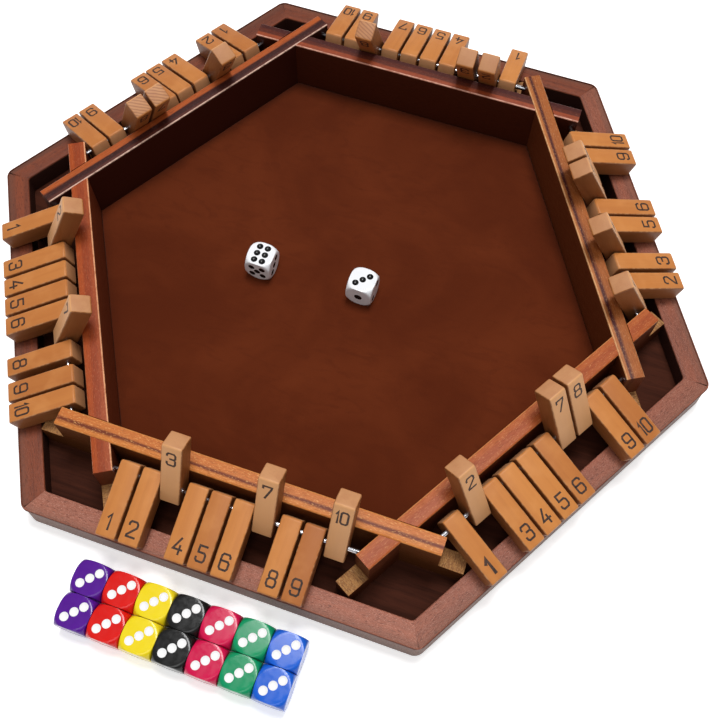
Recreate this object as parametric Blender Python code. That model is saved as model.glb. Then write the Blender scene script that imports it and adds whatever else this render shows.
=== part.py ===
"""Six-player shut the box board: a hexagonal tray with sixty flip-down number tiles.

Metres, Z up. The origin is the centre of the underside, and the front side faces -Y.
Each side carries ten tiles on a steel rod, between a tall rail and the low outer frame.
"""
import math

import bmesh
import bpy
from mathutils import Vector

# Outer frame and base
frame_side = 0.200
frame_height = 0.018
rim_width = 0.012
frame_corner_radius = 0.006
frame_inner_radius = 0.0025
rim_edge_chamfer = 0.0008
base_thickness = 0.006
base_rebate = 0.005
felt_thickness = 0.001
fit_gap = 0.0003

# Rails that wall the play area
channel_width = 0.0273
rail_width = 0.0092
rail_height = 0.0319
rail_edge_chamfer = 0.0006
toe_rise = 0.002
rail_end_wall = 0.0017

# Rods and tiles
rod_radius = 0.0012
rod_clearance = 0.00008
rod_insertion = 0.006
rod_below_rail_top = 0.006
tile_thickness = 0.0106
tile_heel = 0.00525
tile_gap = 0.0014
tile_corner_radius = 0.0012
tile_edge_chamfer = 0.0006
tile_swing_clearance = 0.0016
tile_overhang = 0.0012
row_slack = 0.0031
collar_wall = 0.0014

# Dice
player_die_size = 0.016
white_die_size = 0.0143
die_gap = 0.0003
die_link_size = 0.006
dice_front_gap = 0.0108
die_sphere_share = 0.735
dice_side_share = -0.03
die_weld_share = 0.001

# Counts and angles
tiles_per_side = 10
side_count = 6
round_sides = 12
frame_corner_steps = 4
tile_corner_steps = 2
die_face_steps = 4
dice_per_row = 7
settle_steps = 40
side_angle = math.tau / side_count
cutter_overrun = 0.002

side_names = ("front", "front_right", "back_right", "back", "back_left", "front_left")

# Numbers of the tiles that stand up, side by side as named above
standing_tiles = ((3, 7, 10), (2, 7, 8), (1, 4, 7, 8), (2, 3, 8), (3, 7, 8), (2, 7))

# Neighbouring lying tiles that are joined by a collar on the rod, and lying tiles alone
lying_groups = (
    ((1, 2), (4, 5), (6,), (8, 9)),
    ((1,), (3, 4), (5, 6), (9, 10)),
    ((2, 3), (5, 6), (9, 10)),
    ((1,), (4, 5), (6, 7), (9, 10)),
    ((1, 2), (4, 5), (6,), (9, 10)),
    ((1,), (3, 4), (5, 6), (8, 9), (10,)),
)

# How far each row has slid along its rod, as a share of its free play
row_slide_shares = (-0.45, 0.10, -0.73, 0.58, 0.45, 0.00)

# Tiles that have slid on their own, as a share of the gap between tiles
tile_slide_shares = {
    (0, 3): -0.57,
    (0, 7): -0.43,
    (0, 10): 0.1,
    (1, 1): -0.6,
    (1, 2): 0.3,
    (1, 3): 0.1,
    (2, 1): -0.4,
    (2, 2): -0.3,
    (2, 3): 0.2,
    (2, 4): -0.35,
    (2, 5): 0.3,
    (2, 6): 0.2,
    (2, 7): -0.3,
    (2, 8): -0.45,
    (3, 1): -1.1,
    (3, 2): -1.7,
    (3, 3): -1.0,
    (4, 1): -0.5,
    (4, 2): -0.5,
    (4, 3): 0.7,
    (4, 4): 0.8,
    (4, 5): 0.75,
    (4, 6): 0.2,
    (4, 7): -0.3,
    (4, 9): 1.1,
    (4, 10): 0.85,
    (5, 1): -0.6,
    (5, 2): 0.7,
    (5, 7): 0.6,
    (5, 8): 0.34,
    (5, 9): 1.9,
    (5, 10): 1.8,
}

# Centres of the two white dice, as shares of the play area's apothem, and their turns in degrees
white_dice = ("white_die_left", "white_die_right")
white_dice_shares = ((-0.347, -0.039), (0.108, -0.014))
white_dice_turns = (-1.0, -2.0)

# Worked out from the sizes above
half_turn_cos = math.cos(side_angle)
half_turn_sin = math.sin(side_angle)
frame_apothem = frame_side * math.cos(side_angle / 2)
frame_inner_apothem = frame_apothem - rim_width
rail_outer_apothem = frame_inner_apothem - channel_width
play_apothem = rail_outer_apothem - rail_width
rail_bottom = base_thickness + fit_gap
rail_top = rail_bottom + rail_height
toe_top = frame_height + toe_rise
felt_top = base_thickness + fit_gap + felt_thickness

bore_radius = (rod_radius + rod_clearance) / math.cos(math.pi / round_sides)
collar_radius = bore_radius + collar_wall
rod_standoff = math.hypot(tile_heel, tile_thickness / 2) + tile_swing_clearance
rod_apothem = rail_outer_apothem + rod_standoff
rod_height = rail_top - rod_below_rail_top

# Where a rod meets the inner face of the neighbouring rail, along the rod and along that rail
rod_entry = (play_apothem - rod_apothem * half_turn_cos) / half_turn_sin
rod_entry_on_rail = rod_apothem * half_turn_sin - rod_entry * half_turn_cos
rail_half_length = rod_entry_on_rail + bore_radius / math.cos(side_angle / 2) + rail_end_wall
toe_half_length = (frame_inner_apothem - fit_gap - rail_outer_apothem * half_turn_cos) / half_turn_sin
row_half_space = play_apothem * half_turn_sin - rail_half_length * half_turn_cos
tile_width = (2 * (row_half_space - row_slack) - (tiles_per_side - 1) * tile_gap) / tiles_per_side
tile_pitch = tile_width + tile_gap


def lying_angle_and_reach():
    """Tilt of a lying tile and its length past the rod.

    Its lower outer corner rests on the rim, and its upper one passes the frame's face.
    """
    run = frame_apothem + tile_overhang - rod_apothem
    drop = rod_height - frame_height - fit_gap
    half = tile_thickness / 2
    tilt = 0.0
    for _ in range(settle_steps):
        round_off = tile_corner_radius * (math.sin(tilt) + math.cos(tilt) - 1)
        tilt = math.atan2(drop + round_off - half * math.cos(tilt), run - half * math.sin(tilt))
    return tilt, (run - half * math.sin(tilt)) / math.cos(tilt)


lying_tilt, tile_reach = lying_angle_and_reach()


def standing_angle():
    """Angle from lying level to a tile that leans back on the rail's eased outer edge."""
    rise = rail_top - rod_height
    angles = []
    for y, z in (
        (rod_standoff, rise - rail_edge_chamfer),
        (rod_standoff + rail_edge_chamfer, rise),
    ):
        lean = math.asin((tile_thickness / 2 + fit_gap) / math.hypot(y, z))
        angles.append(math.pi - math.atan2(z, y) - lean)
    return min(angles)


standing_tilt = standing_angle()


def material(name, colour, roughness, metallic=0.0):
    """A plain surface of one colour."""
    found = bpy.data.materials.new(name)
    found.use_nodes = True
    shader = found.node_tree.nodes["Principled BSDF"]
    shader.inputs["Base Color"].default_value = (*colour, 1.0)
    shader.inputs["Roughness"].default_value = roughness
    shader.inputs["Metallic"].default_value = metallic
    return found


def clear_scene():
    for item in list(bpy.data.objects):
        bpy.data.objects.remove(item)


def add_object(name, mesh_data, finish, parent=None):
    """Place a mesh in the scene under an optional parent."""
    item = bpy.data.objects.new(name, mesh_data)
    bpy.context.scene.collection.objects.link(item)
    if finish is not None and not mesh_data.materials:
        mesh_data.materials.append(finish)
    item.parent = parent
    return item


def finish_mesh(name, shape, smooth_angle=None):
    """Turn a bmesh into a mesh with its faces pointing out."""
    bmesh.ops.recalc_face_normals(shape, faces=shape.faces)
    data = bpy.data.meshes.new(name)
    shape.to_mesh(data)
    shape.free()
    if smooth_angle is not None:
        data.shade_smooth()
        data.set_sharp_from_angle(angle=smooth_angle)
    return data


def add_loop(shape, points):
    """Add the points as vertices."""
    return [shape.verts.new(point) for point in points]


def skin(shape, first, second):
    """Join two closed loops of as many points with a band of quads."""
    count = len(first)
    for i in range(count):
        j = (i + 1) % count
        shape.faces.new((first[i], first[j], second[j], second[i]))


def hexagon_loop(apothem, radius, height, steps):
    """A level hexagon with a vertex towards +X and rounded corners."""
    centre = (apothem - radius) / math.cos(side_angle / 2)
    points = []
    for corner in range(side_count):
        middle = corner * side_angle
        cx = centre * math.cos(middle)
        cy = centre * math.sin(middle)
        for step in range(steps + 1):
            turn = middle + side_angle * (step / steps - 0.5)
            points.append((cx + radius * math.cos(turn), cy + radius * math.sin(turn), height))
    return points


def frame_mesh():
    """The outer frame: a hexagonal ring with a rebate below for the base board."""
    shape = bmesh.new()
    seat_apothem = frame_inner_apothem + base_rebate
    seat_height = base_thickness + fit_gap
    edge = rim_edge_chamfer
    stations = (
        (frame_apothem, frame_corner_radius, 0.0),
        (frame_apothem, frame_corner_radius, frame_height - edge),
        (frame_apothem - edge, frame_corner_radius - edge, frame_height),
        (frame_inner_apothem + edge, frame_inner_radius + edge, frame_height),
        (frame_inner_apothem, frame_inner_radius, frame_height - edge),
        (frame_inner_apothem, frame_inner_radius, seat_height),
        (seat_apothem, frame_inner_radius, seat_height),
        (seat_apothem, frame_inner_radius, 0.0),
    )
    loops = [add_loop(shape, hexagon_loop(a, r, z, frame_corner_steps)) for a, r, z in stations]
    for i, current in enumerate(loops):
        skin(shape, current, loops[(i + 1) % len(loops)])
    return finish_mesh("outer_frame", shape)


def hexagon_plate(name, apothem, radius, low, high):
    """A flat hexagonal board between two heights."""
    shape = bmesh.new()
    lower = add_loop(shape, hexagon_loop(apothem, radius, low, frame_corner_steps))
    upper = add_loop(shape, hexagon_loop(apothem, radius, high, frame_corner_steps))
    skin(shape, lower, upper)
    shape.faces.new(lower)
    shape.faces.new(upper)
    return finish_mesh(name, shape)


def rail_mesh(name):
    """A plank on edge, cut down to a low toe past each end, with eased upper edges."""
    half = rail_half_length
    toe = toe_half_length
    profile = (
        (-toe, rail_bottom),
        (toe, rail_bottom),
        (toe, toe_top),
        (half, toe_top),
        (half, rail_top),
        (-half, rail_top),
        (-half, toe_top),
        (-toe, toe_top),
    )
    shape = bmesh.new()
    near = [shape.verts.new((x, -rail_outer_apothem, z)) for x, z in profile]
    far = [shape.verts.new((x, -play_apothem, z)) for x, z in profile]
    skin(shape, near, far)
    shape.faces.new(near)
    shape.faces.new(far)
    middle = (rail_top + toe_top) / 2
    top_edges = [
        edge
        for edge in shape.edges
        if all(v.co.z > middle for v in edge.verts) and abs(edge.verts[0].co.x - edge.verts[1].co.x) > half
    ]
    bmesh.ops.bevel(shape, geom=top_edges, offset=rail_edge_chamfer, segments=1, affect="EDGES")
    return finish_mesh(name, shape)


def cutter(name, mesh_data, parent):
    """A shape that only cuts others."""
    item = add_object(name, mesh_data, None, parent)
    item.hide_render = True
    item.display_type = "WIRE"
    return item


def box_mesh(name, low, high):
    """A box from its lowest to its highest corner."""
    shape = bmesh.new()
    made = bmesh.ops.create_cube(shape, size=1)
    size = Vector(high) - Vector(low)
    middle = (Vector(high) + Vector(low)) / 2
    for vertex in made["verts"]:
        vertex.co = middle + Vector(a * b for a, b in zip(vertex.co, size))
    return finish_mesh(name, shape)


def round_bar_mesh(name, radius, start, end, smooth_angle=None):
    """A round bar along X through the rod line of a side."""
    shape = bmesh.new()
    ends = []
    for x in (start, end):
        ring = []
        for i in range(round_sides):
            turn = math.tau * (i + 0.5) / round_sides
            y = -rod_apothem + radius * math.cos(turn)
            z = rod_height + radius * math.sin(turn)
            ring.append((x, y, z))
        ends.append(add_loop(shape, ring))
    skin(shape, ends[0], ends[1])
    shape.faces.new(ends[0])
    shape.faces.new(ends[1])
    return finish_mesh(name, shape, smooth_angle)


def tile_outline(inset):
    """Side view of a tile around the rod: y runs inward from the outer end, z is up."""
    half = tile_thickness / 2 - inset
    outer = -tile_reach + inset
    inner = tile_heel - inset
    radius = tile_corner_radius
    corners = ((inner, half, 0), (outer, half, 1), (outer, -half, 2), (inner, -half, 3))
    points = []
    for y, z, quarter in corners:
        cy = y - math.copysign(radius, y)
        cz = z - math.copysign(radius, z)
        for step in range(tile_corner_steps + 1):
            turn = math.pi / 2 * (quarter + step / tile_corner_steps)
            points.append((cy + radius * math.cos(turn), cz + radius * math.sin(turn)))
    return points


def round_outline(radius):
    """Points round the rod's axis."""
    turns = [math.tau * (i + 0.5) / round_sides for i in range(round_sides)]
    return [(radius * math.cos(turn), radius * math.sin(turn)) for turn in turns]


def place_outline(shape, x, outline):
    return add_loop(shape, [(x, y, z) for y, z in outline])


def cap_with_hole(shape, outline, hole, facing):
    """Fill the face between an outline and a hole in the same plane."""
    edges = []
    for loop in (outline, hole):
        for i, vertex in enumerate(loop):
            following = loop[(i + 1) % len(loop)]
            edge = shape.edges.get((vertex, following)) or shape.edges.new((vertex, following))
            edges.append(edge)
    bmesh.ops.triangle_fill(shape, edges=edges, use_beauty=True, normal=(facing, 0, 0))


def tile_mesh(name, centres):
    """One or more tiles side by side on the rod, joined by collars where there are two.

    The rod's axis is the X axis, and the centres are measured from the object's origin.
    """
    shape = bmesh.new()
    half = tile_width / 2
    full = tile_outline(0.0)
    eased = tile_outline(tile_edge_chamfer)
    bore = round_outline(bore_radius)
    collar = round_outline(collar_radius)
    bore_start = place_outline(shape, centres[0] - half, bore)
    left_hole = bore_start
    for i, centre in enumerate(centres):
        stations = (
            (centre - half, eased),
            (centre - half + tile_edge_chamfer, full),
            (centre + half - tile_edge_chamfer, full),
            (centre + half, eased),
        )
        loops = [place_outline(shape, x, outline) for x, outline in stations]
        for first, second in zip(loops, loops[1:]):
            skin(shape, first, second)
        cap_with_hole(shape, loops[0], left_hole, -1)
        last = i == len(centres) - 1
        right_hole = place_outline(shape, centre + half, bore if last else collar)
        cap_with_hole(shape, loops[-1], right_hole, 1)
        if not last:
            left_hole = place_outline(shape, centres[i + 1] - half, collar)
            skin(shape, right_hole, left_hole)
    skin(shape, bore_start, right_hole)
    return finish_mesh(name, shape, math.radians(40))


def die_points(size, steps):
    """A cube whose corners are cut back to a sphere, as faces of points."""
    half = size / 2
    limit = size * die_sphere_share
    faces = []
    for axis in range(3):
        for sign in (-1, 1):
            grid = []
            for i in range(steps + 1):
                row = []
                for j in range(steps + 1):
                    point = Vector((0, 0, 0))
                    point[axis] = sign * half
                    point[(axis + 1) % 3] = half * (2 * i / steps - 1)
                    point[(axis + 2) % 3] = half * (2 * j / steps - 1)
                    row.append(point * min(1, limit / point.length))
                grid.append(row)
            faces.append(grid)
    return faces


def add_die(shape, size, centre):
    """Add one die to a bmesh."""
    corners = []
    for grid in die_points(size, die_face_steps):
        verts = [[shape.verts.new(point + centre) for point in row] for row in grid]
        corners.extend(vertex for row in verts for vertex in row)
        for i in range(die_face_steps):
            for j in range(die_face_steps):
                shape.faces.new((verts[i][j], verts[i + 1][j], verts[i + 1][j + 1], verts[i][j + 1]))
    bmesh.ops.remove_doubles(shape, verts=corners, dist=size * die_weld_share)


def die_mesh(name, size):
    shape = bmesh.new()
    add_die(shape, size, Vector((0, 0, 0)))
    return finish_mesh(name, shape)


def side_empty(index):
    """The frame of reference of one side: X along it, Y inward, turned about the origin."""
    empty = bpy.data.objects.new("side_" + side_names[index], None)
    bpy.context.scene.collection.objects.link(empty)
    empty.rotation_euler.z = side_angle * index
    return empty


def tile_place(side, number):
    """Distance of a tile's middle along its side."""
    free = row_half_space - (tiles_per_side * tile_pitch - tile_gap) / 2
    place = (number - (tiles_per_side + 1) / 2) * tile_pitch
    return place + row_slide_shares[side] * free + tile_slide_shares.get((side, number), 0.0) * tile_gap


def add_tiles(side, parent, wood):
    """The standing and the lying tiles of one side."""
    label = side_names[side]
    for number in standing_tiles[side]:
        item = add_object("tile_%s_%d" % (label, number), tile_mesh("tile", (0.0,)), wood, parent)
        item.location = (tile_place(side, number), -rod_apothem, rod_height)
        item.rotation_euler.x = -standing_tilt
    for group in lying_groups[side]:
        name = ("tile_" if len(group) == 1 else "tiles_") + label + "".join("_%d" % n for n in group)
        places = [tile_place(side, number) for number in group]
        middle = sum(places) / len(places)
        item = add_object(name, tile_mesh("tiles", [place - middle for place in places]), wood, parent)
        item.location = (middle, -rod_apothem, rod_height)
        item.rotation_euler.x = lying_tilt


def add_rod(side, parent, steel):
    """The steel rod of one side, held in the ends of the two neighbouring rails."""
    reach = rod_entry + rod_insertion
    name = "rod_" + side_names[side]
    mesh_data = round_bar_mesh(name, rod_radius, -reach, reach, math.radians(40))
    return add_object(name, mesh_data, steel, parent)


def add_rod_cutters(side, parent):
    """The holes that the two ends of a rod need, left and right."""
    depth = rod_entry + rod_insertion + fit_gap
    start = rod_entry - cutter_overrun
    label = side_names[side]
    left = round_bar_mesh("hole", bore_radius, -depth, -start)
    right = round_bar_mesh("hole", bore_radius, start, depth)
    return (
        cutter("hole_left_" + label, left, parent),
        cutter("hole_right_" + label, right, parent),
    )


def add_lap_cutter(side, parent):
    """The space that one rail takes out of the rails it crosses."""
    upper = side % 2 == 0
    middle = (rail_bottom + rail_top) / 2
    low = middle - fit_gap / 2 if upper else rail_bottom - cutter_overrun
    high = rail_top + cutter_overrun if upper else middle + fit_gap / 2
    reach = toe_half_length
    mesh_data = box_mesh(
        "lap",
        (-reach, -rail_outer_apothem - fit_gap, low),
        (reach, -play_apothem + fit_gap, high),
    )
    return cutter("lap_" + side_names[side], mesh_data, parent)


def cut(item, tool):
    """Take one shape out of another."""
    change = item.modifiers.new(tool.name, "BOOLEAN")
    change.operation = "DIFFERENCE"
    change.solver = "EXACT"
    change.object = tool


def add_rails(parents, wood):
    """The six rails, halved into each other at the corners, with holes for the rods."""
    laps = [add_lap_cutter(side, parents[side]) for side in range(side_count)]
    holes = [add_rod_cutters(side, parents[side]) for side in range(side_count)]
    for side in range(side_count):
        name = "rail_" + side_names[side]
        rail = add_object(name, rail_mesh(name), wood, parents[side])
        following = (side + 1) % side_count
        previous = (side - 1) % side_count
        cut(rail, laps[following])
        cut(rail, laps[previous])
        cut(rail, holes[following][0])
        cut(rail, holes[previous][1])


def add_white_dice(ivory):
    """The two dice on the felt."""
    height = felt_top + fit_gap + white_die_size / 2
    for name, shares, turn in zip(white_dice, white_dice_shares, white_dice_turns):
        item = add_object(name, die_mesh(name, white_die_size), ivory)
        item.location = (shares[0] * play_apothem, shares[1] * play_apothem, height)
        item.rotation_euler.z = math.radians(turn)


def add_player_dice(plastic):
    """Fourteen coloured dice in two rows in front of the board, made as one block."""
    pitch = player_die_size + die_gap
    name = "player_dice"
    shape = bmesh.new()
    for row in (-0.5, 0.5):
        for column in range(dice_per_row):
            centre = Vector(((column - (dice_per_row - 1) / 2) * pitch, row * pitch, 0))
            add_die(shape, player_die_size, centre)
    block = add_object(name, finish_mesh(name, shape), plastic)
    centre_y = -frame_apothem - dice_front_gap - player_die_size - die_gap / 2
    block.location = (dice_side_share * frame_side, centre_y, player_die_size / 2)
    reach = (dice_per_row - 1) / 2 * pitch
    half = die_link_size / 2
    for i, (low, high) in enumerate((
        ((-reach, -pitch / 2 - half, -half), (reach, -pitch / 2 + half, half)),
        ((-reach, pitch / 2 - half, -half), (reach, pitch / 2 + half, half)),
        ((-half, -pitch / 2, -half), (half, pitch / 2, half)),
    )):
        link = cutter("dice_link_%d" % i, box_mesh("link", low, high), block)
        change = block.modifiers.new(link.name, "BOOLEAN")
        change.operation = "UNION"
        change.solver = "EXACT"
        change.object = link


def build():
    clear_scene()
    board_wood = material("board_wood", (0.23, 0.075, 0.045), 0.45)
    rail_wood = material("rail_wood", (0.36, 0.11, 0.035), 0.3)
    tile_wood = material("tile_wood", (0.58, 0.27, 0.10), 0.45)
    floor_wood = material("floor_wood", (0.07, 0.025, 0.018), 0.6)
    felt = material("felt", (0.11, 0.025, 0.012), 0.95)
    steel = material("steel", (0.8, 0.8, 0.82), 0.2, 1.0)
    ivory = material("white_plastic", (0.85, 0.85, 0.85), 0.25)
    plastic = material("coloured_plastic", (0.5, 0.05, 0.05), 0.25)
    parents = [side_empty(side) for side in range(side_count)]
    add_object("outer_frame", frame_mesh(), board_wood)
    base_apothem = frame_inner_apothem + base_rebate - fit_gap
    base = hexagon_plate("base_board", base_apothem, frame_inner_radius, 0.0, base_thickness)
    add_object("base_board", base, floor_wood)
    mat_radius = fit_gap
    mat = hexagon_plate("felt_mat", play_apothem - fit_gap, mat_radius, base_thickness + fit_gap, felt_top)
    add_object("felt_mat", mat, felt)
    add_rails(parents, rail_wood)
    for side in range(side_count):
        add_rod(side, parents[side], steel)
        add_tiles(side, parents[side], tile_wood)
    add_white_dice(ivory)
    add_player_dice(plastic)


build()
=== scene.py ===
import math
import random

import bmesh
import bpy
from mathutils import Matrix, Vector


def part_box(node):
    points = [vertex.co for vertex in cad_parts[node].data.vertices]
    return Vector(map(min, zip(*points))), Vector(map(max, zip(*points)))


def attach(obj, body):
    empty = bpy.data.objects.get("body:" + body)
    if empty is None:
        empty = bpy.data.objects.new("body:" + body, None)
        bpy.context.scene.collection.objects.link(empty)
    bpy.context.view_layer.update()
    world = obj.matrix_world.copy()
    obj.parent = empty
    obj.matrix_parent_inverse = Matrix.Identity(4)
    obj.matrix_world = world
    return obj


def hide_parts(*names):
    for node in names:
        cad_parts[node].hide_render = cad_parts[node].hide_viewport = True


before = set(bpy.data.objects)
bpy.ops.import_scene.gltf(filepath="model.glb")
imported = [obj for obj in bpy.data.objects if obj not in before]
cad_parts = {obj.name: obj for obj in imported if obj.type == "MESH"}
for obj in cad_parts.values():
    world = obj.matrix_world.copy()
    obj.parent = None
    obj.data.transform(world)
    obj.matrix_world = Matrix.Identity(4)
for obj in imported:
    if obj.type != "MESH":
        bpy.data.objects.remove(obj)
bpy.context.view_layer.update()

MM = 0.001

# Sizes in millimetres, and how far lying and standing tiles are tilted
FRAME_APOTHEM = 173.205
FRAME_INNER = FRAME_APOTHEM - 12.0
FRAME_TOP = 18.0
FRAME_CORNER = 6.0
FRAME_INNER_CORNER = 2.5
FRAME_EDGE = 0.8
FRAME_FOOT_EDGE = 0.25
FRAME_REBATE = 5.0
MITRE_GAP = 0.012
BOARD_TOP = 6.3
RAIL_OUTER = 133.905
RAIL_INNER = 124.705
RAIL_TOP = 38.2
RAIL_EDGE = 0.8
RAIL_END_EDGE = 0.25
RAIL_HALF = 96.314
TOE_HALF = 108.487
TOE_TOP = 20.0
ROD_APOTHEM = 142.965
ROD_HEIGHT = 32.2
ROD_RADIUS = 1.2
ROD_HALF = 67.456
ROD_EDGE = 0.3
HOLE_RADIUS = 1.32
HOLE_EDGE = 0.25
HOLE_START = 60.25725
TILE_COUNT = 10
TILE_WIDTH = 10.088
TILE_GAP = 1.4
TILE_PITCH = TILE_WIDTH + TILE_GAP
TILE_THICK = 10.6
TILE_CORNER = 1.2
TILE_EDGE = 0.75
TILE_REACH = 31.255
TILE_HEEL = 5.25
LYING = math.radians(16.983)
STANDING = math.radians(117.135)
ROW_SLACK = 3.1
GAP = 0.3
FELT_TOP = 7.3
FELT_EDGE = 0.35
FELT_WAVE = 0.06
PLAYER_DIE = 16.0
WHITE_DIE = 14.3
PIP_DEPTH = 0.6

# The six sides, counterclockwise from the front, their standing tiles and how the tiles have slid:
# a row in shares of its slack, a tile in shares of the gap between tiles
SIDES = ("front", "front_right", "back_right", "back", "back_left", "front_left")
STANDING_TILES = ((3, 7, 10), (2, 7, 8), (1, 4, 7, 8), (2, 3, 8), (3, 7, 8), (2, 7))
ROW_SLIDE = (-0.45, 0.10, -0.73, 0.58, 0.45, 0.00)
TILE_SLIDE = {
    (0, 3): -0.57, (0, 7): -0.43, (0, 10): 0.1,
    (1, 1): -0.6, (1, 2): 0.3, (1, 3): 0.1,
    (2, 1): -0.4, (2, 2): -0.3, (2, 3): 0.2, (2, 4): -0.35, (2, 5): 0.3,
    (2, 6): 0.2, (2, 7): -0.3, (2, 8): -0.45,
    (3, 1): -1.1, (3, 2): -1.7, (3, 3): -1.0,
    (4, 1): -0.5, (4, 2): -0.5, (4, 3): 0.7, (4, 4): 0.8, (4, 5): 0.75,
    (4, 6): 0.2, (4, 7): -0.3, (4, 9): 1.1, (4, 10): 0.85,
    (5, 1): -0.6, (5, 2): 0.7, (5, 7): 0.6, (5, 8): 0.34, (5, 9): 1.9,
    (5, 10): 1.8,
}


def srgb(red, green, blue):
    """A colour given as seen on a screen, from 0 to 255, as linear light."""
    values = []
    for value in (red, green, blue):
        value /= 255
        values.append(value / 12.92 if value <= 0.04045 else ((value + 0.055) / 1.055) ** 2.4)
    return (*values, 1.0)


# Materials


class Graph:
    """Short calls for building a material's nodes."""

    def __init__(self, name):
        self.material = bpy.data.materials.new(name)
        self.material.use_nodes = True
        self.tree = self.material.node_tree
        self.shader = self.tree.nodes["Principled BSDF"]

    def node(self, kind, **settings):
        made = self.tree.nodes.new(kind)
        for key, value in settings.items():
            setattr(made, key, value)
        return made

    def put(self, socket, value):
        if isinstance(value, bpy.types.NodeSocket):
            self.tree.links.new(value, socket)
        else:
            socket.default_value = value

    def maths(self, operation, a, b=0.0):
        made = self.node("ShaderNodeMath", operation=operation)
        self.put(made.inputs[0], a)
        self.put(made.inputs[1], b)
        return made.outputs[0]

    def mix(self, factor, a, b):
        made = self.node("ShaderNodeMix", data_type="RGBA")
        self.put(made.inputs[0], factor)
        self.put(made.inputs[6], a)
        self.put(made.inputs[7], b)
        return made.outputs[2]

    def ramp(self, value, low, high, out_low=0.0, out_high=1.0):
        made = self.node("ShaderNodeMapRange", interpolation_type="SMOOTHSTEP")
        self.put(made.inputs[0], value)
        for socket, number in zip(made.inputs[1:5], (low, high, out_low, out_high)):
            socket.default_value = number
        return made.outputs[0]

    def noise(self, vector, scale=1.0, detail=3.0, roughness=0.5, distortion=0.0):
        made = self.node("ShaderNodeTexNoise")
        self.put(made.inputs["Vector"], vector)
        made.inputs["Scale"].default_value = scale
        made.inputs["Detail"].default_value = detail
        made.inputs["Roughness"].default_value = roughness
        made.inputs["Distortion"].default_value = distortion
        return made.outputs[0]

    def stretched(self, vector, scale):
        made = self.node("ShaderNodeVectorMath", operation="MULTIPLY")
        self.put(made.inputs[0], vector)
        made.inputs[1].default_value = scale
        return made.outputs[0]

    def place(self, shift=True):
        """The point on the piece in metres, moved by the piece's own random shift."""
        point = self.node("ShaderNodeTexCoord").outputs["Object"]
        if not shift:
            return point
        own = self.node("ShaderNodeAttribute", attribute_name="piece").outputs["Vector"]
        made = self.node("ShaderNodeVectorMath", operation="ADD")
        self.put(made.inputs[0], point)
        self.put(made.inputs[1], own)
        return made.outputs[0]

    def axes(self, vector):
        made = self.node("ShaderNodeSeparateXYZ")
        self.put(made.inputs[0], vector)
        return made.outputs

    def tone(self):
        return self.node("ShaderNodeAttribute", attribute_name="tone").outputs["Fac"]

    def bump(self, height, strength, distance):
        made = self.node("ShaderNodeBump")
        made.inputs["Strength"].default_value = strength
        made.inputs["Distance"].default_value = distance
        self.put(made.inputs["Height"], height)
        self.put(self.shader.inputs["Normal"], made.outputs[0])

    def surface(self, colour, roughness, **values):
        self.put(self.shader.inputs["Base Color"], colour)
        self.put(self.shader.inputs["Roughness"], roughness)
        for key, value in values.items():
            self.put(self.shader.inputs[key.replace("_", " ")], value)
        return self.material


def grain(graph, vector, along, fine=2600.0, long_run=170.0):
    """Fine streaks along one axis of the piece, and broader bands along it."""
    streak = [fine, fine, fine]
    streak[along] = long_run
    band = [260.0, 260.0, 260.0]
    band[along] = 14.0
    streaks = graph.noise(graph.stretched(vector, streak), 1.0, 4.0, 0.6)
    bands = graph.noise(graph.stretched(vector, band), 1.0, 3.0, 0.5, 0.6)
    return streaks, bands


def box_edges(graph, half, centre, width):
    """Nearness to the edges of a box, from 0 on its faces to 1 at its edges."""
    point = graph.axes(graph.place(shift=False))
    near = []
    for i in range(3):
        away = graph.maths("ABSOLUTE", graph.maths("SUBTRACT", point[i], centre[i] * MM))
        near.append(graph.ramp(away, (half[i] - width) * MM, half[i] * MM))
    pairs = [graph.maths("MULTIPLY", near[a], near[b]) for a, b in ((0, 1), (1, 2), (0, 2))]
    return graph.maths("MAXIMUM", graph.maths("MAXIMUM", pairs[0], pairs[1]), pairs[2])


def tile_material():
    """Warm tan varnished wood: smooth wide faces, painted shade on the narrow sides and a painted pale
    reflection on the underside.
    """
    g = Graph("tile_varnish")
    streaks, bands = grain(g, g.place(), 1)
    base = g.mix(g.tone(), srgb(222, 146, 74), srgb(162, 90, 42))
    base = g.mix(g.ramp(bands, 0.35, 0.7, 0.0, 0.4), base, g.mix(0.5, base, srgb(166, 90, 42)))
    base = g.mix(g.ramp(streaks, 0.55, 0.8, 0.0, 0.14), base, srgb(140, 78, 40))
    blotch = g.noise(g.place(), 95.0, 2.0, 0.5)
    base = g.mix(g.ramp(blotch, 0.45, 0.75, 0.0, 0.25), base, srgb(224, 156, 92))
    raw = g.axes(g.place(shift=False))
    # Painted reflection: the underside, the face that looks outwards and upwards on a standing tile, is
    # mixed towards a pale cream.
    under = g.ramp(raw[2], -(TILE_THICK / 2 - 0.3) * MM, -(TILE_THICK / 2 - 1.3) * MM, 1.0, 0.0)
    base = g.mix(g.maths("MULTIPLY", under, 0.55), base, srgb(230, 180, 130))
    # Painted shade: the narrow side faces are mixed 72% towards dark brown.
    side_shade = g.ramp(g.maths("ABSOLUTE", raw[0]), (TILE_WIDTH / 2 - 0.6) * MM, (TILE_WIDTH / 2 - 0.1) * MM)
    base = g.mix(g.maths("MULTIPLY", side_shade, 0.72), base, srgb(112, 62, 34))
    half = (TILE_WIDTH / 2, (TILE_REACH + TILE_HEEL) / 2, TILE_THICK / 2)
    edges = box_edges(g, half, (0, (TILE_HEEL - TILE_REACH) / 2, 0), 0.8)
    wear = g.maths("MULTIPLY", edges, g.ramp(g.noise(g.place(), 420.0, 3.0), 0.4, 0.65, 0.0, 0.5))
    base = g.mix(wear, base, srgb(236, 184, 132))
    g.bump(streaks, 0.1, 0.0003)
    rough = g.ramp(streaks, 0.3, 0.8, 0.42, 0.55)
    return g.surface(base, rough, Coat_Weight=0.06, Coat_Roughness=0.3, Specular_IOR_Level=0.3)


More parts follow.
